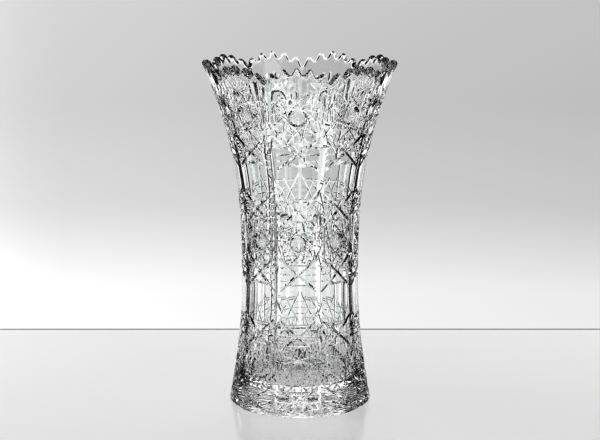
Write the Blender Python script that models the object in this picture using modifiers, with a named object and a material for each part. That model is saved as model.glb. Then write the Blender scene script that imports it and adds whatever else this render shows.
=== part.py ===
"""Tall flared vase of clear cut lead crystal, one piece of glass.

Metres, +Z up. The origin is the centre of the flat underside, and the middle
of one of the nine cut panels faces -Y.
"""

import math

import bmesh
import bpy
from mathutils import Matrix

# Driving dimensions of the blown blank
HEIGHT = 0.305
FOOT_RADIUS = 0.0634
WAIST_RADIUS = 0.0516
RIM_RADIUS = 0.0862
WAIST_LOW = 0.105          # the foot's flare starts below this height
WAIST_HIGH = 0.130         # the mouth's flare starts above this height
FOOT_CURVE = 1.75
MOUTH_CURVE = 2.28
WALL = 0.0075
FLOOR_HEIGHT = 0.021       # thickness of the solid base
FLOOR_FILLET = 0.012
FOOT_BEVEL = 0.0015

# Cutting pattern
PANELS = 9
PANEL_ANGLE = math.tau / PANELS
FRONT = -math.pi / 2
GROOVE_DEPTH = 0.0022      # upright mitre groove between two panels
GROOVE_HALF_WIDTH = 0.0029
STAR_HEIGHTS = (0.0421, 0.1520, 0.2624)
BUTTON_RADII = (0.0066, 0.0074, 0.0080)
BUTTON_DEPTH = 0.0010
WINDOW_HEIGHTS = (0.0970, 0.2056)
WINDOW_LENGTH = 0.0365
WINDOW_WIDTH = 0.0300
WINDOW_DEPTH = 0.0012

# Rim: five teeth across each panel and a deep notch over each groove
TEETH = 5
TOOTH_PITCH = math.radians(7.75)
TOOTH_FLAT = math.radians(1.4)
TOOTH_TOPS = (HEIGHT, HEIGHT - 0.0015, HEIGHT - 0.0054)      # middle tooth outwards
GULLETS = (HEIGHT - 0.0065, HEIGHT - 0.0088)                 # middle gullet outwards
NOTCH_BOTTOM = HEIGHT - 0.0137

TRIM = 0.002               # extra height of the blank, ground away when the rim is cut
STEPS = 72                 # facets round the body, a multiple of the panels
OUTER_STATIONS = 17
INNER_STATIONS = 11
FILLET_STEPS = 4
BUTTON_SIDES = 12
WINDOW_SIDES = 8


def outer_radius(z):
    """Radius of the blank at height z: flared foot, straight waist, flared mouth."""
    if z < WAIST_LOW:
        share = (WAIST_LOW - z) / WAIST_LOW
        return WAIST_RADIUS + (FOOT_RADIUS - WAIST_RADIUS) * share ** FOOT_CURVE
    if z > WAIST_HIGH:
        share = (z - WAIST_HIGH) / (HEIGHT - WAIST_HIGH)
        return WAIST_RADIUS + (RIM_RADIUS - WAIST_RADIUS) * share ** MOUTH_CURVE
    return WAIST_RADIUS


def wall_slope(z):
    """Lean of the outer wall from the upright, positive where the radius grows with height."""
    step = 0.001
    return math.atan2(outer_radius(z + step) - outer_radius(z - step), 2 * step)


def stations(low, high, count):
    """Evenly spaced heights from low to high, both included."""
    return [low + (high - low) * index / (count - 1) for index in range(count)]


def remove_everything():
    for obj in list(bpy.data.objects):
        bpy.data.objects.remove(obj, do_unlink=True)


def new_collection(name):
    collection = bpy.data.collections.new(name)
    bpy.context.scene.collection.children.link(collection)
    return collection


def new_object(name, shape, collection):
    mesh = bpy.data.meshes.new(name)
    shape.to_mesh(mesh)
    shape.free()
    obj = bpy.data.objects.new(name, mesh)
    collection.objects.link(obj)
    return obj


def glass_material():
    material = bpy.data.materials.new("lead_crystal")
    material.use_nodes = True
    shader = material.node_tree.nodes["Principled BSDF"]
    shader.inputs["Base Color"].default_value = (0.97, 0.98, 0.98, 1.0)
    shader.inputs["Roughness"].default_value = 0.02
    shader.inputs["Metallic"].default_value = 0.0
    shader.inputs["IOR"].default_value = 1.545
    shader.inputs["Transmission Weight"].default_value = 1.0
    return material


def blank_profile():
    """Half section of the blank: inner floor, up inside, over the rim, down outside, underside."""
    corner_radius = outer_radius(FLOOR_HEIGHT + FLOOR_FILLET) - WALL - FLOOR_FILLET
    profile = [(0.0, FLOOR_HEIGHT)]
    for step in range(FILLET_STEPS + 1):
        turn = math.pi / 2 * step / FILLET_STEPS
        profile.append((corner_radius + FLOOR_FILLET * math.sin(turn),
                        FLOOR_HEIGHT + FLOOR_FILLET * (1 - math.cos(turn))))
    for z in stations(FLOOR_HEIGHT + FLOOR_FILLET, HEIGHT + TRIM, INNER_STATIONS)[1:]:
        profile.append((outer_radius(z) - WALL, z))
    for z in reversed(stations(FOOT_BEVEL, HEIGHT + TRIM, OUTER_STATIONS)):
        profile.append((outer_radius(z), z))
    profile.append((FOOT_RADIUS - FOOT_BEVEL, 0.0))
    profile.append((0.0, 0.0))
    return profile


def make_blank(collection):
    """The uncut body, turned round +Z."""
    shape = bmesh.new()
    points = [shape.verts.new((radius, 0.0, z)) for radius, z in blank_profile()]
    for start, end in zip(points, points[1:]):
        shape.edges.new((start, end))
    body = new_object("vase_body", shape, collection)
    screw = body.modifiers.new("turned", "SCREW")
    screw.axis = "Z"
    screw.angle = math.tau
    screw.steps = STEPS
    screw.render_steps = STEPS
    screw.use_merge_vertices = True
    screw.merge_threshold = 0.00001
    return body


def panel_turn(index):
    """Rotation that carries +X to the middle of a panel."""
    return Matrix.Rotation(FRONT + index * PANEL_ANGLE, 4, "Z")


def rim_outline():
    """Angle and height of each corner of the toothed rim, once round from the front groove."""
    outline = []
    middle = TEETH // 2
    for panel in range(PANELS):
        centre = FRONT + panel * PANEL_ANGLE
        outline.append((centre - PANEL_ANGLE / 2, NOTCH_BOTTOM))
        for tooth in range(-middle, middle + 1):
            top = TOOTH_TOPS[abs(tooth)]
            angle = centre + tooth * TOOTH_PITCH
            outline.append((angle - TOOTH_FLAT, top))
            outline.append((angle + TOOTH_FLAT, top))
            if tooth < middle:
                gullet = GULLETS[0] if tooth in (-1, 0) else GULLETS[1]
                outline.append((angle + TOOTH_PITCH / 2, gullet))
    return outline


def make_rim_cutter(collection):
    """Ring over the rim whose underside follows the teeth, gullets and notches."""
    outline = rim_outline()
    inside, outside = RIM_RADIUS - 4 * WALL, RIM_RADIUS + WALL
    top = HEIGHT + WALL
    shape = bmesh.new()
    corners = ((inside, HEIGHT), (outside, HEIGHT), (outside, top), (inside, top))
    section = [shape.verts.new((radius, 0.0, z)) for radius, z in corners]
    edges = [shape.edges.new((section[k - 1], section[k])) for k in range(len(section))]
    bmesh.ops.spin(shape, geom=section + edges, cent=(0, 0, 0), axis=(0, 0, 1),
                   angle=math.tau, steps=len(outline), use_merge=True)
    for vert in shape.verts:
        share = math.atan2(vert.co.y, vert.co.x) % math.tau / math.tau
        angle, height = outline[round(share * len(outline)) % len(outline)]
        radius = math.hypot(vert.co.x, vert.co.y)
        low = abs(vert.co.z - HEIGHT) < 1e-6
        vert.co = (radius * math.cos(angle), radius * math.sin(angle), height if low else top)
    bmesh.ops.recalc_face_normals(shape, faces=shape.faces)
    return new_object("rim_cutter", shape, collection)


def add_blade(shape):
    """V-edged blade that follows the wall at +X from under the foot to over the rim."""
    clearance = GROOVE_DEPTH
    half_width = GROOVE_HALF_WIDTH * (1 + clearance / GROOVE_DEPTH)
    overrun = 0.006
    levels = [-overrun] + stations(0.0, HEIGHT, OUTER_STATIONS) + [HEIGHT + overrun]
    rows = []
    for z in levels:
        wall = outer_radius(min(max(z, 0.0), HEIGHT))
        rows.append([shape.verts.new((wall - GROOVE_DEPTH, 0.0, z)),
                     shape.verts.new((wall + clearance, -half_width, z)),
                     shape.verts.new((wall + clearance, half_width, z))])
    for row in rows:
        for k in range(len(row)):
            shape.edges.new((row[k - 1], row[k]))
    for lower, upper in zip(rows, rows[1:]):
        ring = [shape.edges.get((row[k - 1], row[k])) for row in (lower, upper) for k in range(3)]
        bmesh.ops.bridge_loops(shape, edges=ring)
    for end in (rows[0], rows[-1]):
        shape.faces.new(end)
    return [vert for row in rows for vert in row]


def make_groove_cutter(collection):
    """Nine upright blades, one on each border between two panels."""
    shape = bmesh.new()
    for panel in range(PANELS):
        blade = add_blade(shape)
        turn = panel_turn(panel) @ Matrix.Rotation(PANEL_ANGLE / 2, 4, "Z")
        bmesh.ops.transform(shape, matrix=turn, verts=blade)
    bmesh.ops.recalc_face_normals(shape, faces=shape.faces)
    return new_object("groove_cutter", shape, collection)


def add_facet_tool(shape, sides, half_length, half_width, depth, z, panel):
    """Flat-ended prism that grinds one facet of the given depth into the wall at height z."""
    reach = 0.006
    tool = bmesh.ops.create_cone(shape, cap_ends=True, segments=sides, radius1=1.0,
                                 radius2=1.0, depth=reach)["verts"]
    level_side = Matrix.Rotation(math.pi / sides, 4, "Z")
    size = Matrix.Diagonal((half_length, half_width, 1.0, 1.0))
    outward = Matrix.Rotation(math.pi / 2 + wall_slope(z), 4, "Y")
    place = Matrix.Translation((outer_radius(z) + reach / 2 - depth, 0.0, z))
    bmesh.ops.transform(shape, matrix=panel_turn(panel) @ place @ outward @ size @ level_side,
                        verts=tool)


def make_facet_cutter(name, heights, sides, sizes, depth, collection):
    """One cutter for the facets of a kind: every panel, at every height."""
    shape = bmesh.new()
    for z, (half_length, half_width) in zip(heights, sizes):
        for panel in range(PANELS):
            add_facet_tool(shape, sides, half_length, half_width, depth, z, panel)
    return new_object(name, shape, collection)


def cut(body, cutter):
    cutter.hide_render = True
    cutter.display_type = "WIRE"
    boolean = body.modifiers.new(cutter.name, "BOOLEAN")
    boolean.operation = "DIFFERENCE"
    boolean.solver = "EXACT"
    boolean.object = cutter


def main():
    remove_everything()
    parts = new_collection("cut_crystal_vase")
    cutters = new_collection("cutters")
    body = make_blank(parts)
    body.data.materials.append(glass_material())
    window = (WINDOW_LENGTH / 2 / math.cos(math.pi / WINDOW_SIDES),
              WINDOW_WIDTH / 2 / math.cos(math.pi / WINDOW_SIDES))
    cut(body, make_facet_cutter("window_cutter", WINDOW_HEIGHTS, WINDOW_SIDES,
                                [window] * len(WINDOW_HEIGHTS), WINDOW_DEPTH, cutters))
    cut(body, make_facet_cutter("button_cutter", STAR_HEIGHTS, BUTTON_SIDES,
                                [(radius, radius) for radius in BUTTON_RADII],
                                BUTTON_DEPTH, cutters))
    cut(body, make_groove_cutter(cutters))
    cut(body, make_rim_cutter(cutters))


main()
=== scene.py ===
"""Tall flared vase of clear lead crystal, wheel-cut over nine panels under a toothed rim.

The outside of the glass starts as half a panel laid flat. Each wheel cut lowers the flat
sheet to its facets, the finished half is mirrored and wrapped round the blank, and nine
panels close into the wall. The rim, the hollow and the star-cut underside are added to it.
"""

import math

import bmesh
import bpy
from mathutils import Matrix, Vector


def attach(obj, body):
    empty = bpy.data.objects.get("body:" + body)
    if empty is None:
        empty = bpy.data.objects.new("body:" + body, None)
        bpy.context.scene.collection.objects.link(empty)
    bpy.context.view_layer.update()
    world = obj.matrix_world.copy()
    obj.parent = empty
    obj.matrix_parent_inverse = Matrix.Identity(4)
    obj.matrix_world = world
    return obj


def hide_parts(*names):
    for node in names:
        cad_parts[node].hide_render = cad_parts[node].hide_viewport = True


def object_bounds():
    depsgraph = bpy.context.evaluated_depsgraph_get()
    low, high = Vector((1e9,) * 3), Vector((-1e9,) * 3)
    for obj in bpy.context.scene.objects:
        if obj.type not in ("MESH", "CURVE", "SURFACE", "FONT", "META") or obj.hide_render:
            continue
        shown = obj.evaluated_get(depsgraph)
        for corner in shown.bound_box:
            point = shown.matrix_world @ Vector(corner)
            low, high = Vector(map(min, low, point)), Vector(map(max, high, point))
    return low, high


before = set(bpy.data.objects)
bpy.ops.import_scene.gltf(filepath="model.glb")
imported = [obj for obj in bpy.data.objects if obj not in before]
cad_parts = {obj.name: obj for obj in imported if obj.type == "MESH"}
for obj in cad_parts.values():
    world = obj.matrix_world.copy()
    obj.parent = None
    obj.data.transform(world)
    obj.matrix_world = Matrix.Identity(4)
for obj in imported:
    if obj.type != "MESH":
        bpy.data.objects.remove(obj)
cad_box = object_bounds()

# ---------------------------------------------------------------- the blown blank, in metres
HEIGHT = cad_box[1].z - cad_box[0].z
FOOT_RADIUS = 0.0634
WAIST_RADIUS = 0.0516
RIM_RADIUS = 0.0862
WAIST_LOW = 0.105            # the foot flares below this height
WAIST_HIGH = 0.130           # the mouth flares above this height
FOOT_CURVE = 1.75
MOUTH_CURVE = 2.28
WALL = 0.0075
FLOOR_HEIGHT = 0.021
FLOOR_FILLET = 0.018         # rounding where the hollow's wall meets its floor
FOOT_EDGE = 0.0014           # rounding at the foot's lower edge
RIM_EDGE = 0.0030            # rounding at both edges of the rim

# ---------------------------------------------------------------- the panels
PANELS = 9
HALF_ANGLE = math.pi / PANELS
HALF_PANEL = WAIST_RADIUS * HALF_ANGLE       # half a panel's width at the waist
GROOVE_DEPTH = 0.0018        # upright groove between two panels
GROOVE_WIDTH = 0.0060
SHOULDER = HALF_PANEL - GROOVE_WIDTH / 2     # where the upright groove starts, at the waist

# ---------------------------------------------------------------- the rim
TOOTH_ANGLE = math.radians(7.75)
TOOTH_TOPS = (HEIGHT, HEIGHT - 0.0015, HEIGHT - 0.0054)    # from the middle tooth outwards
GULLETS = (HEIGHT - 0.0065, HEIGHT - 0.0088)               # from the middle gullet outwards
NOTCH = HEIGHT - 0.0137
TOOTH_ROOT = HEIGHT - 0.020                  # the wall is plain above this height

# ---------------------------------------------------------------- cuts
TOUCH = 0.000002             # two surfaces closer than this are one
RUN_OUT = 0.7                # steepness of the ramp at both ends of a groove

CROSSINGS = (0.0129, 0.0704, 0.1250, 0.1805, 0.2302)    # heights where two arms cross
ARM_SLOPE = 0.93             # rise over run of the arms, on the flat sheet
PAST_MIDDLE = 0.012          # the arms start this far left of the panel's middle
PAST_GROOVE = 0.002          # and end this far past the middle of the groove
BAR_STEPS = (-2, -1, 0, 1, 2)    # places of the bars, counted from the crossing's middle
BAR_PITCH = 0.0058
BAR_WIDTH = 0.0030
BAR_STEEPNESS = 0.60
BAR_GAP = 0.0004             # between an arm's middle line and the tips of its bars

FRAME_REACH = 0.0088         # from a crossing's middle to the frames above and below it
FRAME_WIDTH = 0.0026
FRAME_STEEPNESS = 0.62
SIDE_OVERLAP = 0.001         # the upright frames run this far past the arms
SIDE_TOP = TOOTH_ROOT - 0.010

STARS = ((0.0421, 0.0068), (0.1520, 0.0074), (0.2624, 0.0080))    # height and button radius
STAR_TOP = 0.0205            # reach of the uppermost star above its middle
BUTTON_STEPS = (1.50, 0.28, 0.18, 0.10, 0.03)    # steepness of its rings, from edge to middle
BUTTON_SIDES = 20
CHORDS = 12
CHORD_WIDTH = 0.0017
CHORD_STEEPNESS = 0.62
CHORD_GAP = 0.0006           # between a button's edge and the chords' middle lines

FAN_LEAVES = 5               # in half a fan, the upright one included
FAN_SPREAD = math.radians(70)
FAN_REACH = 0.0110           # from the button's edge to the middles of the leaves
LEAF_LENGTH = 0.0085
LEAF_WIDTH = 0.0026
LEAF_RUN_OUT = 0.35

PANES = ((0.0704, 0.1250), (0.1805, 0.2302))    # crossings below and above each clear window
PANE_ANGLE = math.radians(12.0)              # half the width of a window's flat
PANE_EDGE = 1.20                             # steepness of the edge round the flat
PANE_MARGIN = FRAME_WIDTH * 0.4              # between a frame's middle line and the flat's edge
PANE_LINES = (0.0, 0.0010, 0.0020)           # lines ruled along that edge, going inwards

BASE_RAYS = 36               # star cut into the underside
BASE_RADIUS = 0.052
BASE_DEPTH = 0.0017
BASE_BORDER = 0.002

# ---------------------------------------------------------------- fineness of the mesh
WALL_COLUMNS = 4             # across half a panel, outside
WALL_ROWS = 44
TALLEST_FACE = 0.0065        # outside
HOLLOW_COLUMNS = 6
HOLLOW_ROWS = 50
SLACK = 1.05                 # a face this much over the spacing stays whole
RIM_STEPS = 5
FLOOR_STEPS = 6
FOOT_STEPS = 3
ONE_FACET = math.radians(0.3)     # faces that turn less than this are one facet
CRISP = math.radians(10)          # edges that turn more than this look sharp


def outer_radius(z):
    """Radius of the blank at height z."""
    if z < WAIST_LOW:
        share = (WAIST_LOW - z) / WAIST_LOW
        return WAIST_RADIUS + (FOOT_RADIUS - WAIST_RADIUS) * share ** FOOT_CURVE
    if z > WAIST_HIGH:
        share = (z - WAIST_HIGH) / (HEIGHT - WAIST_HIGH)
        return WAIST_RADIUS + (RIM_RADIUS - WAIST_RADIUS) * share ** MOUTH_CURVE
    return WAIST_RADIUS


def rim_height(angle):
    """Height of the toothed rim at an angle from a panel's middle."""
    angle = abs(angle)
    tooth = min(round(angle / TOOTH_ANGLE), len(TOOTH_TOPS) - 1)
    offset = angle - tooth * TOOTH_ANGLE
    if offset < 0 or tooth < len(GULLETS):
        low = GULLETS[max(tooth - 1, 0) if offset < 0 else tooth]
        reach = TOOTH_ANGLE / 2
    else:
        low = NOTCH
        reach = HALF_ANGLE - tooth * TOOTH_ANGLE
    swing = (1 + math.cos(math.pi * offset / reach)) / 2
    return low + (TOOTH_TOPS[tooth] - low) * swing


# ---------------------------------------------------------------- grinding the flat sheet
# A facet is a plane of depth: (depth at the sheet's origin, change along x, change along y).

def facet(point, direction, steepness, depth=0.0):
    """Facet of the given depth at a point, deeper along the direction."""
    return (depth - steepness * point.dot(direction),
            steepness * direction.x, steepness * direction.y)


def over_each(corners, facets):
    """Whether every facet has some corner of a face above it."""
    for base, along_x, along_y in facets:
        if all(co.z + base + along_x * co.x + along_y * co.y <= TOUCH for co in corners):
            return False
    return True


def reached(faces, facets):
    """The faces that a cut with these facets can lower."""
    return [face for face in faces if over_each([vert.co for vert in face.verts], facets)]


def split(sheet, faces, point, normal):
    """Cuts the faces along a plane and returns them with their new halves."""
    edges = dict.fromkeys(edge for face in faces for edge in face.edges)     # in a fixed order
    verts = dict.fromkeys(vert for face in faces for vert in face.verts)
    made = bmesh.ops.bisect_plane(sheet, geom=list(faces) + list(edges) + list(verts),
                                  dist=TOUCH / 2, plane_co=point, plane_no=normal)
    return [item for item in made["geom"] if isinstance(item, bmesh.types.BMFace)]


def grind(sheet, facets, ridges=()):
    """Takes the glass above the facets away; a ridge is a pair of facets that meet in a crease."""
    faces = reached(sheet.faces, facets)
    for base, along_x, along_y in facets:
        if faces:
            faces = split(sheet, faces, (0, 0, -base), (along_x, along_y, 1))
            faces = reached(faces, facets)
    for one, other in ridges:
        base, along_x, along_y = (a - b for a, b in zip(facets[one], facets[other]))
        steep = along_x ** 2 + along_y ** 2
        if faces and steep > 0:
            point = (-base * along_x / steep, -base * along_y / steep, 0)
            faces = split(sheet, faces, point, (along_x, along_y, 0))
    for vert in {vert for face in faces for vert in face.verts}:
        depth = min(base + along_x * vert.co.x + along_y * vert.co.y
                    for base, along_x, along_y in facets)
        vert.co.z = min(vert.co.z, -depth)


def stretched(facets, stretch):
    """Facets laid out at the wall's true width, brought to the sheet's width."""
    return [(base, along_x * stretch, along_y) for base, along_x, along_y in facets]


def mitre(start, end, width, steepness, ramp=RUN_OUT):
    """V-groove between two points, running out at both ends."""
    along = (end - start).normalized()
    across = Vector((-along.y, along.x))
    depth = steepness * width / 2
    facets = [facet(start, across, -steepness, depth), facet(start, across, steepness, depth),
              facet(start, along, ramp), facet(end, -along, ramp)]
    return facets, ((0, 1), (0, 2), (1, 2), (0, 3), (1, 3))


def dart(tip, root, width, steepness):
    """V-groove that grows from a point at its tip to its full width at its root."""
    along = (root - tip).normalized()
    across = Vector((-along.y, along.x))
    growth = steepness * width / 2 / (root - tip).length
    left = along * growth - across * steepness
    right = along * growth + across * steepness
    return [facet(tip, left.normalized(), left.length),
            facet(tip, right.normalized(), right.length)], ((0, 1),)


def button(centre, radius):
    """Round hollow in equal rings, from its steep edge to its shallow middle."""
    rings = len(BUTTON_STEPS)
    facets, ridges = [], []
    for side in range(BUTTON_SIDES):
        turn = math.tau * (side + 0.5) / BUTTON_SIDES
        outward = Vector((math.cos(turn), math.sin(turn)))
        depth = 0.0
        for ring, steepness in enumerate(BUTTON_STEPS):
            start = centre + outward * radius * (rings - ring) / rings
            facets.append(facet(start, -outward, steepness, depth))
            depth += steepness * radius / rings
            here = side * rings + ring
            next_side = (here + rings) % (BUTTON_SIDES * rings)
            ridges.append((here, next_side))
            if ring:
                ridges.append((here - 1, here))
    return facets, ridges


def stretch_at(y):
    """How much wider the wall is at a height than the flat sheet."""
    return outer_radius(y) / WAIST_RADIUS


def grind_crossing(sheet, y):
    """Two arms that cross in the panel's middle, with bars between them."""
    right = HALF_PANEL + PAST_GROOVE
    for slope in (ARM_SLOPE, -ARM_SLOPE):
        start = Vector((-PAST_MIDDLE, y - PAST_MIDDLE * slope))
        end = Vector((right, y + right * slope))
        grind(sheet, *mitre(start, end, FRAME_WIDTH, FRAME_STEEPNESS))
    for side in (-1, 1):
        level = y + side * FRAME_REACH
        reach = FRAME_REACH / ARM_SLOPE
        grind(sheet, *mitre(Vector((-reach, level)), Vector((reach, level)),
                            FRAME_WIDTH, FRAME_STEEPNESS))
    for step in BAR_STEPS:
        bar = y + step * BAR_PITCH
        tip = abs(step) * BAR_PITCH / ARM_SLOPE + BAR_GAP
        grind(sheet, *dart(Vector((tip, bar)), Vector((HALF_PANEL, bar)), BAR_WIDTH,
                           BAR_STEEPNESS))


def grind_sides(sheet):
    """Upright border of each field, beside the groove."""
    levels = list(CROSSINGS) + [HEIGHT]
    x = SHOULDER - FRAME_WIDTH / 2
    for low, high in zip(levels, levels[1:]):
        if (low, high) in PANES:
            continue
        start, end = low + x * ARM_SLOPE, high - x * ARM_SLOPE
        if high == HEIGHT:
            end = SIDE_TOP
        grind(sheet, *mitre(Vector((x, start - SIDE_OVERLAP)), Vector((x, end + SIDE_OVERLAP)),
                            FRAME_WIDTH, FRAME_STEEPNESS))


def pane_room(x, y, low, high):
    """How far a point lies inside the octagon of a window, at the wall's true size."""
    stretch = stretch_at((low + high) / 2)
    norm = math.hypot(ARM_SLOPE / stretch, 1.0)
    room = min(y - low, high - y)
    return min(room - FRAME_REACH, (room - ARM_SLOPE * x) / norm) - PANE_MARGIN


def pane_depth(x, y):
    """How far the flat of a window lies below the round wall."""
    angle = x / HALF_PANEL * HALF_ANGLE
    flat = outer_radius(y) * (1 - math.cos(PANE_ANGLE) / math.cos(angle))
    for low, high in PANES:
        if low < y < high:
            return max(0.0, min(flat, PANE_EDGE * pane_room(x, y, low, high)))
    return 0.0


def rule_panes(sheet):
    """Lines for the edges of the windows, which wrap() then lowers."""
    edge = PANE_ANGLE / HALF_ANGLE * HALF_PANEL
    for low, high in PANES:
        stretch = stretch_at((low + high) / 2)
        slope = ARM_SLOPE / stretch
        norm = math.hypot(slope, 1.0)
        faces = []
        for face in sheet.faces:
            middle = face.calc_center_median().y
            right = max(vert.co.x for vert in face.verts)
            near = pane_room(right, middle, low, high) > -FRAME_WIDTH
            if near or low + FRAME_REACH < middle < high - FRAME_REACH:
                faces.append(face)
        for inset in PANE_LINES:
            gap = inset + PANE_MARGIN
            for sign, level in ((1, low), (-1, high)):
                faces = split(sheet, faces, Vector((0, level + sign * (FRAME_REACH + gap), 0)),
                              Vector((0, 1, 0)))
                faces = split(sheet, faces, Vector((0, level + sign * gap * norm, 0)),
                              Vector((-sign * ARM_SLOPE, 1, 0)))
        for x in (edge / 4, edge / 2, edge * 3 / 4, edge):
            faces = split(sheet, faces, Vector((x, 0, 0)), Vector((1, 0, 0)))


def clip_chord(tangent, along, limits):
    """Where the line through a point leaves the convex field given by (normal, distance)."""
    start, end = -HEIGHT, HEIGHT
    parallel = 1e-9
    for normal, distance in limits:
        rate = normal.dot(along)
        room = distance - normal.dot(tangent)
        if rate > parallel:
            end = min(end, room / rate)
        elif rate < -parallel:
            start = max(start, room / rate)
    return start, end


def star_field(y):
    """The field of a star: upright sides at the grooves, level top and bottom, slanted corners."""
    stretch = stretch_at(y)
    side = (SHOULDER - FRAME_WIDTH) * stretch
    slope = ARM_SLOPE / stretch
    norm = math.hypot(slope, 1.0)
    half = FRAME_REACH + FRAME_WIDTH / 2
    below = [height for height in CROSSINGS if height < y][-1]
    above = [height for height in CROSSINGS if height > y][:1]
    low = below + half
    high = above[0] - half if above else y + STAR_TOP
    limits = [(Vector((1, 0)), side), (Vector((-1, 0)), side),
              (Vector((0, -1)), y - low), (Vector((0, 1)), high - y)]
    for sign in (1, -1):
        to_arm = (y - below) / norm - FRAME_WIDTH / 2
        limits.append((Vector((sign * slope, -1)) / norm, to_arm))
        if above:
            to_arm = (above[0] - y) / norm - FRAME_WIDTH / 2
            limits.append((Vector((sign * slope, 1)) / norm, to_arm))
    return limits


def grind_star(sheet, y, ring):
    """Chords that touch the ring round the button, each running on to the field's border."""
    stretch = stretch_at(y)
    centre = Vector((0, y))
    limits = star_field(y)
    for chord in range(CHORDS):
        turn = math.tau * (chord + 0.5) / CHORDS
        tangent = Vector((math.cos(turn), math.sin(turn))) * (ring + CHORD_GAP)
        along = Vector((-math.sin(turn), math.cos(turn)))
        start, end = clip_chord(tangent, along, limits)
        facets, ridges = mitre(centre + tangent + along * start, centre + tangent + along * end,
                               CHORD_WIDTH, CHORD_STEEPNESS)
        grind(sheet, stretched(facets, stretch), ridges)
    facets, ridges = button(centre, ring)
    grind(sheet, stretched(facets, stretch), ridges)


def grind_fan(sheet, y, ring):
    """Leaf cuts that stand over a button like an open fan."""
    radius = ring + FAN_REACH
    stretch = stretch_at(y + radius)
    for leaf in range(FAN_LEAVES):
        turn = math.pi / 2 - FAN_SPREAD * leaf / (FAN_LEAVES - 1)
        out = Vector((math.cos(turn), math.sin(turn)))
        middle = Vector((0, y)) + out * radius
        facets, ridges = mitre(middle - out * LEAF_LENGTH / 2, middle + out * LEAF_LENGTH / 2,
                               LEAF_WIDTH, CHORD_STEEPNESS, LEAF_RUN_OUT)
        grind(sheet, stretched(facets, stretch), ridges)


def flat_half_panel(columns, rows, bottom):
    """Half a panel laid flat: x from its middle to the groove, y up the vase, z out of the glass."""
    sheet = bmesh.new()
    bmesh.ops.create_grid(sheet, x_segments=columns, y_segments=rows, size=0.5)
    place = (Matrix.Translation((0, bottom, 0))
             @ Matrix.Diagonal((HALF_PANEL, HEIGHT - bottom, 1.0, 1.0))
             @ Matrix.Translation((0.5, 0.5, 0.0)))
    bmesh.ops.transform(sheet, matrix=place, verts=sheet.verts)
    return sheet


def divide(sheet, spacing_x, spacing_y):
    """Splits faces too long to follow the round of the wall."""
    for axis, spacing, length in ((0, spacing_x, HALF_PANEL), (1, spacing_y, HEIGHT)):
        normal = Vector((axis == 0, axis == 1, 0))
        for step in range(1, math.ceil(length / spacing)):
            place = step * spacing
            faces = []
            for face in sheet.faces:
                ends = [vert.co[axis] for vert in face.verts]
                wide = max(ends) - min(ends) > spacing * SLACK
                if wide and min(ends) < place - TOUCH and max(ends) > place + TOUCH:
                    faces.append(face)
            if faces:
                split(sheet, faces, normal * place, normal)


def tooth_columns():
    """Angles of the fine columns that draw the teeth, from a panel's middle to its groove."""
    angles = []
    shares = (0.2, 0.4, 0.6, 0.8, 1.0)
    for tooth in range(len(TOOTH_TOPS)):
        centre = tooth * TOOTH_ANGLE
        right = TOOTH_ANGLE / 2 if tooth < len(GULLETS) else HALF_ANGLE - centre
        if tooth:
            angles += [centre - share * TOOTH_ANGLE / 2 for share in shares[:-1]] + [centre]
        angles += [centre + share * right for share in shares]
    return sorted(angle for angle in angles if angle < HALF_ANGLE - 1e-6)


def rule_teeth(sheet):
    """Fine columns above the tooth roots, so that the rim's outline has points to follow."""
    level = Vector((0, TOOTH_ROOT, 0))
    split(sheet, list(sheet.faces), level, Vector((0, 1, 0)))
    for angle in tooth_columns():
        place = angle / HALF_ANGLE * HALF_PANEL
        faces = [face for face in sheet.faces
                 if face.calc_center_median().y > TOOTH_ROOT
                 and min(vert.co.x for vert in face.verts) < place
                 and max(vert.co.x for vert in face.verts) > place]
        split(sheet, faces, Vector((place, 0, 0)), Vector((1, 0, 0)))


def wrap(sheet, inset):
    """Bends the flat sheet round the blank, inset from its outer surface."""
    for vert in sheet.verts:
        angle = vert.co.x / HALF_PANEL * HALF_ANGLE
        z = vert.co.y
        if z > TOOTH_ROOT:
            share = (z - TOOTH_ROOT) / (HEIGHT - TOOTH_ROOT)
            z = TOOTH_ROOT + share * (rim_height(angle) - RIM_EDGE - TOOTH_ROOT)
        radius = outer_radius(z) - inset + vert.co.z
        if inset == 0.0:       # only the outside has windows
            radius -= pane_depth(vert.co.x, z)
        vert.co = (radius * math.sin(angle), -radius * math.cos(angle), z)


def close_round(sheet):
    """Mirrors the wrapped half into a panel and sets nine panels round the axis."""
    bmesh.ops.mirror(sheet, geom=list(sheet.verts) + list(sheet.edges) + list(sheet.faces),
                     axis="X", merge_dist=TOUCH)
    panel = list(sheet.verts) + list(sheet.edges) + list(sheet.faces)
    for number in range(1, PANELS):
        copy = bmesh.ops.duplicate(sheet, geom=panel)["geom"]
        bmesh.ops.rotate(sheet, cent=(0, 0, 0),
                         matrix=Matrix.Rotation(number * 2 * HALF_ANGLE, 3, "Z"),
                         verts=[item for item in copy if isinstance(item, bmesh.types.BMVert)])
    bmesh.ops.remove_doubles(sheet, verts=sheet.verts, dist=2 * TOUCH)


def cut_wall():
    """The outside of the glass, with every cut in it."""
    sheet = flat_half_panel(WALL_COLUMNS, WALL_ROWS, FOOT_EDGE)
    groove = facet(Vector((SHOULDER, 0)), Vector((1, 0)), 2 * GROOVE_DEPTH / GROOVE_WIDTH)
    grind(sheet, [groove])
    for y in CROSSINGS:
        grind_crossing(sheet, y)
    grind_sides(sheet)
    for y, ring in STARS:
        grind_star(sheet, y, ring)
    grind_fan(sheet, *STARS[-1])
    bmesh.ops.dissolve_limit(sheet, angle_limit=ONE_FACET, verts=sheet.verts, edges=sheet.edges)
    divide(sheet, HALF_PANEL / WALL_COLUMNS, TALLEST_FACE)
    rule_panes(sheet)
    rule_teeth(sheet)
    return sheet


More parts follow.
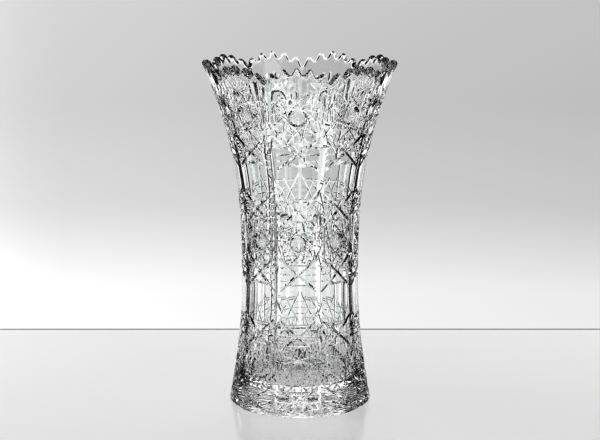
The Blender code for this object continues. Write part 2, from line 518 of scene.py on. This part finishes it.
def extend(shape, loop, place):
    """Draws an open loop out by one row; place gives each new corner its position."""
    made = bmesh.ops.extrude_edge_only(shape, edges=loop)["geom"]
    for item in made:
        if isinstance(item, bmesh.types.BMVert):
            item.co = place(item.co)
    return [item for item in made if isinstance(item, bmesh.types.BMEdge) and item.is_boundary]


def open_loop(shape, test):
    """Open edges whose ends both pass the test."""
    return [edge for edge in shape.edges
            if edge.is_boundary and all(test(vert.co) for vert in edge.verts)]


def moved_in(co, inset, z):
    """A point moved towards the axis and set at a height."""
    radius = math.hypot(co.x, co.y)
    share = (radius - inset) / radius
    return Vector((co.x * share, co.y * share, z))


def at_radius(co, radius, z):
    """A point moved to a distance from the axis and set at a height."""
    return moved_in(co, math.hypot(co.x, co.y) - radius, z)


def quarter(steps):
    """Turns from just after 0 to 90 degrees."""
    return [math.pi / 2 * step / steps for step in range(1, steps + 1)]


def join_rim(shape):
    """Rounds the outer edge of the teeth, crosses their top and rounds their inner edge."""
    def is_outer(co):
        return math.hypot(co.x, co.y) > outer_radius(co.z) - WALL / 2

    outer = open_loop(shape, lambda co: co.z > TOOTH_ROOT and is_outer(co))
    inner = open_loop(shape, lambda co: co.z > TOOTH_ROOT and not is_outer(co))
    inset, drop = 0.0, RIM_EDGE
    for turn in quarter(RIM_STEPS):
        step_in = RIM_EDGE * (1 - math.cos(turn)) - inset
        step_up = drop - RIM_EDGE * (1 - math.sin(turn))
        outer = extend(shape, outer, lambda co: moved_in(co, step_in, co.z + step_up))
        inset, drop = inset + step_in, drop - step_up
    for turn in [0.0] + quarter(RIM_STEPS)[:-1]:
        step_in = WALL - RIM_EDGE + RIM_EDGE * math.sin(turn) - inset
        step_up = drop - RIM_EDGE * (1 - math.cos(turn))
        outer = extend(shape, outer, lambda co: moved_in(co, step_in, co.z + step_up))
        inset, drop = inset + step_in, drop - step_up
    bmesh.ops.bridge_loops(shape, edges=outer + inner)


def close_hollow(shape):
    """Rounds the hollow into its floor."""
    start = FLOOR_HEIGHT + FLOOR_FILLET
    loop = open_loop(shape, lambda co: abs(co.z - start) < TOUCH
                     and math.hypot(co.x, co.y) < outer_radius(start) - WALL / 2)
    corner = outer_radius(start) - WALL - FLOOR_FILLET
    for turn in quarter(FLOOR_STEPS):
        radius = corner + FLOOR_FILLET * math.cos(turn)
        z = start - FLOOR_FILLET * math.sin(turn)
        loop = extend(shape, loop, lambda co: at_radius(co, radius, z))
    for share in (0.75, 0.5, 0.25, 0.06):      # rings across the flat floor
        loop = extend(shape, loop, lambda co: at_radius(co, corner * share, FLOOR_HEIGHT))
    bmesh.ops.contextual_create(shape, geom=loop)


def close_underside(shape):
    """Rounds the foot's edge, then cuts a many-rayed star into the flat underside."""
    loop = open_loop(shape, lambda co: abs(co.z - FOOT_EDGE) < TOUCH
                     and math.hypot(co.x, co.y) > FOOT_RADIUS - 2 * WALL)
    inset = 0.0
    for turn in quarter(FOOT_STEPS):
        step_in = FOOT_EDGE * (1 - math.cos(turn)) - inset
        z = FOOT_EDGE * (1 - math.sin(turn))
        loop = extend(shape, loop, lambda co: moved_in(co, step_in, z))
        inset += step_in
    ring = bmesh.ops.create_circle(shape, segments=2 * BASE_RAYS,
                                   radius=BASE_RADIUS + BASE_BORDER)["verts"]
    inner = list(dict.fromkeys(edge for vert in ring for edge in vert.link_edges))
    bmesh.ops.bridge_loops(shape, edges=loop + inner)

    def star(co, share):
        spoke = round(math.atan2(co.y, co.x) / (math.pi / BASE_RAYS))
        depth = BASE_DEPTH * (1.0 if spoke % 2 else 1.0 - share)
        return at_radius(co, BASE_RADIUS * share, depth)

    inner = extend(shape, inner, lambda co: at_radius(co, BASE_RADIUS, 0.0))
    for share in (0.92, 0.7, 0.5, 0.3, 0.12, 0.03):      # rings across the star
        inner = extend(shape, inner, lambda co: star(co, share))
    bmesh.ops.contextual_create(shape, geom=inner)


def make_vase():
    """The whole glass as one closed body."""
    outside = cut_wall()
    wrap(outside, 0.0)
    close_round(outside)
    inside = flat_half_panel(HOLLOW_COLUMNS, HOLLOW_ROWS, FLOOR_HEIGHT + FLOOR_FILLET)
    rule_teeth(inside)
    wrap(inside, WALL)
    close_round(inside)
    for face in inside.faces:
        face.material_index = 1       # the blown finish
    mesh = bpy.data.meshes.new("inside")
    inside.to_mesh(mesh)
    inside.free()
    outside.from_mesh(mesh)
    bpy.data.meshes.remove(mesh)
    join_rim(outside)
    close_hollow(outside)
    close_underside(outside)
    bmesh.ops.triangulate(outside, faces=outside.faces)
    bmesh.ops.recalc_face_normals(outside, faces=outside.faces)
    mesh = bpy.data.meshes.new("cut_glass")
    outside.to_mesh(mesh)
    outside.free()
    mesh.shade_smooth()
    mesh.set_sharp_from_angle(angle=CRISP)
    for edge in mesh.edges:
        heights = [mesh.vertices[corner].co.z for corner in edge.vertices]
        if min(heights) > TOOTH_ROOT or max(heights) < FOOT_EDGE + TOUCH:
            edge.use_edge_sharp = False       # the teeth and the foot's edge are rounded
    vase = bpy.data.objects.new("cut_glass", mesh)
    bpy.context.scene.collection.objects.link(vase)
    return vase


# ---------------------------------------------------------------- finishes
class Signal:
    """A shader socket that takes part in arithmetic: each step adds its Math node."""

    def __init__(self, tree, socket=None):
        self.tree = tree
        self.socket = socket

    def node(self, kind, sockets=(), output=0, stops=(), **settings):
        """Adds any other node: its settings and a ramp's stops first, then its sockets."""
        made = self.tree.nodes.new(kind)
        for name, value in settings.items():
            setattr(made, name, value)
        for _ in stops[2:]:       # a new ramp has two stops already
            made.color_ramp.elements.new(0.5)
        for element, (position, grey) in zip(made.color_ramp.elements if stops else (), stops):
            element.position = position
            element.color = (grey, grey, grey, 1.0)
        for name, value in dict(sockets).items():
            if isinstance(value, Signal):
                self.tree.links.new(value.socket, made.inputs[name])
            else:
                made.inputs[name].default_value = value
        return Signal(self.tree, made.outputs[output])

    def math(self, operation, first, second=0.0):
        return self.node("ShaderNodeMath", {0: first, 1: second}, operation=operation)

    def __add__(self, other):
        return self.math("ADD", self, other)

    __radd__ = __add__

    def __mul__(self, other):
        return self.math("MULTIPLY", self, other)

    __rmul__ = __mul__

    def __sub__(self, other):
        return self.math("SUBTRACT", self, other)

    def __rsub__(self, other):
        return self.math("SUBTRACT", other, self)

    def feed(self, node, name):
        """Links the signal to a named socket of a node."""
        self.tree.links.new(self.socket, node.inputs[name])


def new_material(name):
    """A material, its shader and a signal to build its varying parts from."""
    material = bpy.data.materials.new(name)
    material.use_nodes = True
    return material, material.node_tree.nodes["Principled BSDF"], Signal(material.node_tree)


def crystal(name, ripple_size, ripple_depth):
    """Clear polished lead crystal with faint ripples, its shader and the signal of its place."""
    material, shader, glass = new_material(name)
    shader.inputs["Base Color"].default_value = (0.99, 0.992, 0.992, 1.0)
    shader.inputs["Roughness"].default_value = 0.0
    shader.inputs["IOR"].default_value = 1.545
    shader.inputs["Transmission Weight"].default_value = 1.0
    place = glass.node("ShaderNodeTexCoord", output="Object")
    ripple = place.node("ShaderNodeTexNoise",
                        {"Vector": place, "Scale": 1 / ripple_size, "Detail": 1.0})
    bump = place.node("ShaderNodeBump", {"Height": ripple, "Distance": ripple_depth})
    bump.feed(shader, "Normal")
    return material, shader, place


def cut_crystal():
    """The outside: bright facets with hardly a ripple, straight from the polishing wheel."""
    material, _, _ = crystal("lead_crystal_cut", ripple_size=0.004, ripple_depth=0.000002)
    return material


def blown_crystal():
    """The inside: gently rippled blown skin, a little duller in patches."""
    material, shader, place = crystal("lead_crystal_blown", ripple_size=0.016,
                                      ripple_depth=0.00006)
    patch_size, dullest = 0.030, 0.05
    worn = place.node("ShaderNodeTexNoise",
                      {"Vector": place, "Scale": 1 / patch_size, "Detail": 3.0})
    (worn * dullest).feed(shader, "Roughness")
    return material


# ---------------------------------------------------------------- studio
VIEW_TURN = math.radians(1.8)     # the camera and the table stand this far round to the right
VIEW_DISTANCE = 1.238
VIEW_HEIGHT = 0.4166
VIEW_DIP = 11.6                   # how far the camera looks down, in degrees
VIEW_LENS = 85.8                  # in millimetres, on a 36 mm sensor
VIEW_GAMMA = 0.50                 # below 1 deepens the shadows; the tones here allow for it

TABLE_BACK = 0.2205               # from the vase's axis to the far edge
TABLE_REACH = 0.90                # half the width and depth
# width of the darker band of painted shade along the table's edge
TABLE_EDGE_SHADE = 0.005
TABLE_GAP = 0.0002                # below the foot

# Tone of the backdrop by the height of a direction, from straight down to straight up
BACKDROP = ((-1.0, 0.89), (-0.30, 0.965), (-0.245, 0.945), (-0.19, 0.793), (-0.12, 0.743),
            (-0.03, 0.768), (0.06, 0.97), (0.74, 1.0), (0.84, 0.12), (1.0, 0.12))
# Its gain by the angle round the vase, in degrees to the right of straight behind it
FALLOFF = ((-60, 1.0), (-38, 1.45), (-17, 1.25), (-12, 1.08), (0, 1.0), (12, 0.96),
           (17, 1.25), (38, 1.45), (60, 1.0))
DARK_ROOM = 0.002                 # share of those tones that is left between the screens
# Pale screens round the vase: middle and half width in degrees from straight behind it
SCREENS = ((0, 31), (-80, 16), (135, 12))
SCREEN_BLUR = 2.5                 # width of a screen's soft edge, in degrees
SWEEP = (-0.15, -0.30)            # heights of direction where the sweep below starts and is full

LAMP_PLACE = (-0.6, -0.5, 1.7)
LAMP_WIDTH = 1.2
LAMP_DEPTH = 0.8
LAMP_POWER = 4.0


def glowing(name, grey, glow, roughness):
    """Plain stage surface that is lit evenly from behind."""
    material, shader, _ = new_material(name)
    shader.inputs["Base Color"].default_value = (grey, grey, grey, 1.0)
    shader.inputs["Roughness"].default_value = roughness
    shader.inputs["IOR"].default_value = 1.3
    shader.inputs["Emission Color"].default_value = (glow, glow, glow, 1.0)
    shader.inputs["Emission Strength"].default_value = 1.0
    return material


def light_floor():
    """Pale glossy table top, with a darker band of painted shade along its edge, that ends a little
    way behind the vase.
    """
    shape = bmesh.new()
    bmesh.ops.create_grid(shape, x_segments=1, y_segments=1, size=TABLE_REACH)
    bmesh.ops.translate(shape, vec=(0, TABLE_BACK - TABLE_REACH, -TABLE_GAP), verts=shape.verts)
    # the inset ring of faces carries the painted shade of the table's edge
    edge_shade = bmesh.ops.inset_individual(shape, faces=shape.faces, thickness=TABLE_EDGE_SHADE)
    for face in edge_shade["faces"]:
        face.material_index = 1
    mesh = bpy.data.meshes.new("table")
    shape.to_mesh(mesh)
    shape.free()
    table = bpy.data.objects.new("table", mesh)
    bpy.context.scene.collection.objects.link(table)
    mesh.materials.append(glowing("white_acrylic", grey=0.25, glow=0.66, roughness=0.12))
    # painted shade: the edge band is darker and glows less, standing in for the dark line at the
    # sheet's edge
    mesh.materials.append(glowing("table_edge_painted_shade", grey=0.05, glow=0.30, roughness=0.5))
    table.rotation_euler.z = VIEW_TURN


def within(sky, angle, middle, half_width):
    """1 where an angle in degrees is near the middle, falling to 0 past the half width."""
    away = sky.math("ABSOLUTE", angle - middle)
    return sky.node("ShaderNodeMapRange",
                    {"Value": away, "From Min": half_width + SCREEN_BLUR, "From Max": half_width},
                    interpolation_type="SMOOTHSTEP")


def light_sky():
    """Studio surroundings: a dark room with pale screens round the vase and a pale sweep below."""
    world = bpy.data.worlds.new("studio")
    bpy.context.scene.world = world
    world.use_nodes = True
    sky = Signal(world.node_tree)
    direction = sky.node("ShaderNodeTexCoord", output="Generated")
    x, y, z = (sky.node("ShaderNodeSeparateXYZ", {0: direction}, output=axis) for axis in "XYZ")
    backdrop = sky.node("ShaderNodeValToRGB", {0: z * 0.5 + 0.5},
                        stops=[((height + 1) / 2, grey) for height, grey in BACKDROP])
    turn = sky.math("ARCTAN2", x, y) * math.degrees(1)
    # The ramp holds half of each gain, which keeps its tones under 1
    falloff = sky.node("ShaderNodeValToRGB", {0: turn * (1 / 360) + 0.5},
                       stops=[(angle / 360 + 0.5, tone / 2) for angle, tone in FALLOFF]) * 2.0
    screens = DARK_ROOM
    for middle, half_width in SCREENS:
        screens = sky.math("MAXIMUM", within(sky, turn, middle, half_width), screens)
    start, full = SWEEP
    below = sky.node("ShaderNodeMapRange", {"Value": z, "From Min": start, "From Max": full})
    screens = sky.math("MAXIMUM", screens, below)
    # Beside the vase the whole backdrop shows; in the glass, only the screens and the sweep
    seen = sky.node("ShaderNodeLightPath", output="Is Camera Ray")
    lit = backdrop * falloff * (seen + screens * (1.0 - seen))
    lit.feed(world.node_tree.nodes["Background"], "Color")


def light_lamp():
    """Weak softbox high up, in front of the vase and to its left."""
    lamp = bpy.data.lights.new("softbox", "AREA")
    lamp.shape = "RECTANGLE"
    lamp.size = LAMP_WIDTH
    lamp.size_y = LAMP_DEPTH
    lamp.energy = LAMP_POWER
    obj = bpy.data.objects.new("softbox", lamp)
    obj.location = LAMP_PLACE
    direction = Vector((0, 0, HEIGHT / 2)) - obj.location
    obj.rotation_euler = direction.to_track_quat("-Z", "Y").to_euler()
    bpy.context.scene.collection.objects.link(obj)


def place_camera():
    """Camera in front of the vase and above its rim, looking slightly down."""
    camera = bpy.data.cameras.new("camera")
    camera.sensor_width = 36.0
    camera.lens = VIEW_LENS
    obj = bpy.data.objects.new("camera", camera)
    obj.location = (VIEW_DISTANCE * math.sin(VIEW_TURN), -VIEW_DISTANCE * math.cos(VIEW_TURN),
                    VIEW_HEIGHT)
    obj.rotation_euler = (math.radians(90 - VIEW_DIP), 0.0, VIEW_TURN)
    bpy.context.scene.collection.objects.link(obj)
    bpy.context.scene.camera = obj


vase = make_vase()
vase.data.materials.append(cut_crystal())
vase.data.materials.append(blown_crystal())
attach(vase, "root")
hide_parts("vase_body")
light_floor()
light_sky()
light_lamp()
place_camera()
bpy.context.scene.view_settings.view_transform = "Standard"
bpy.context.scene.view_settings.gamma = VIEW_GAMMA
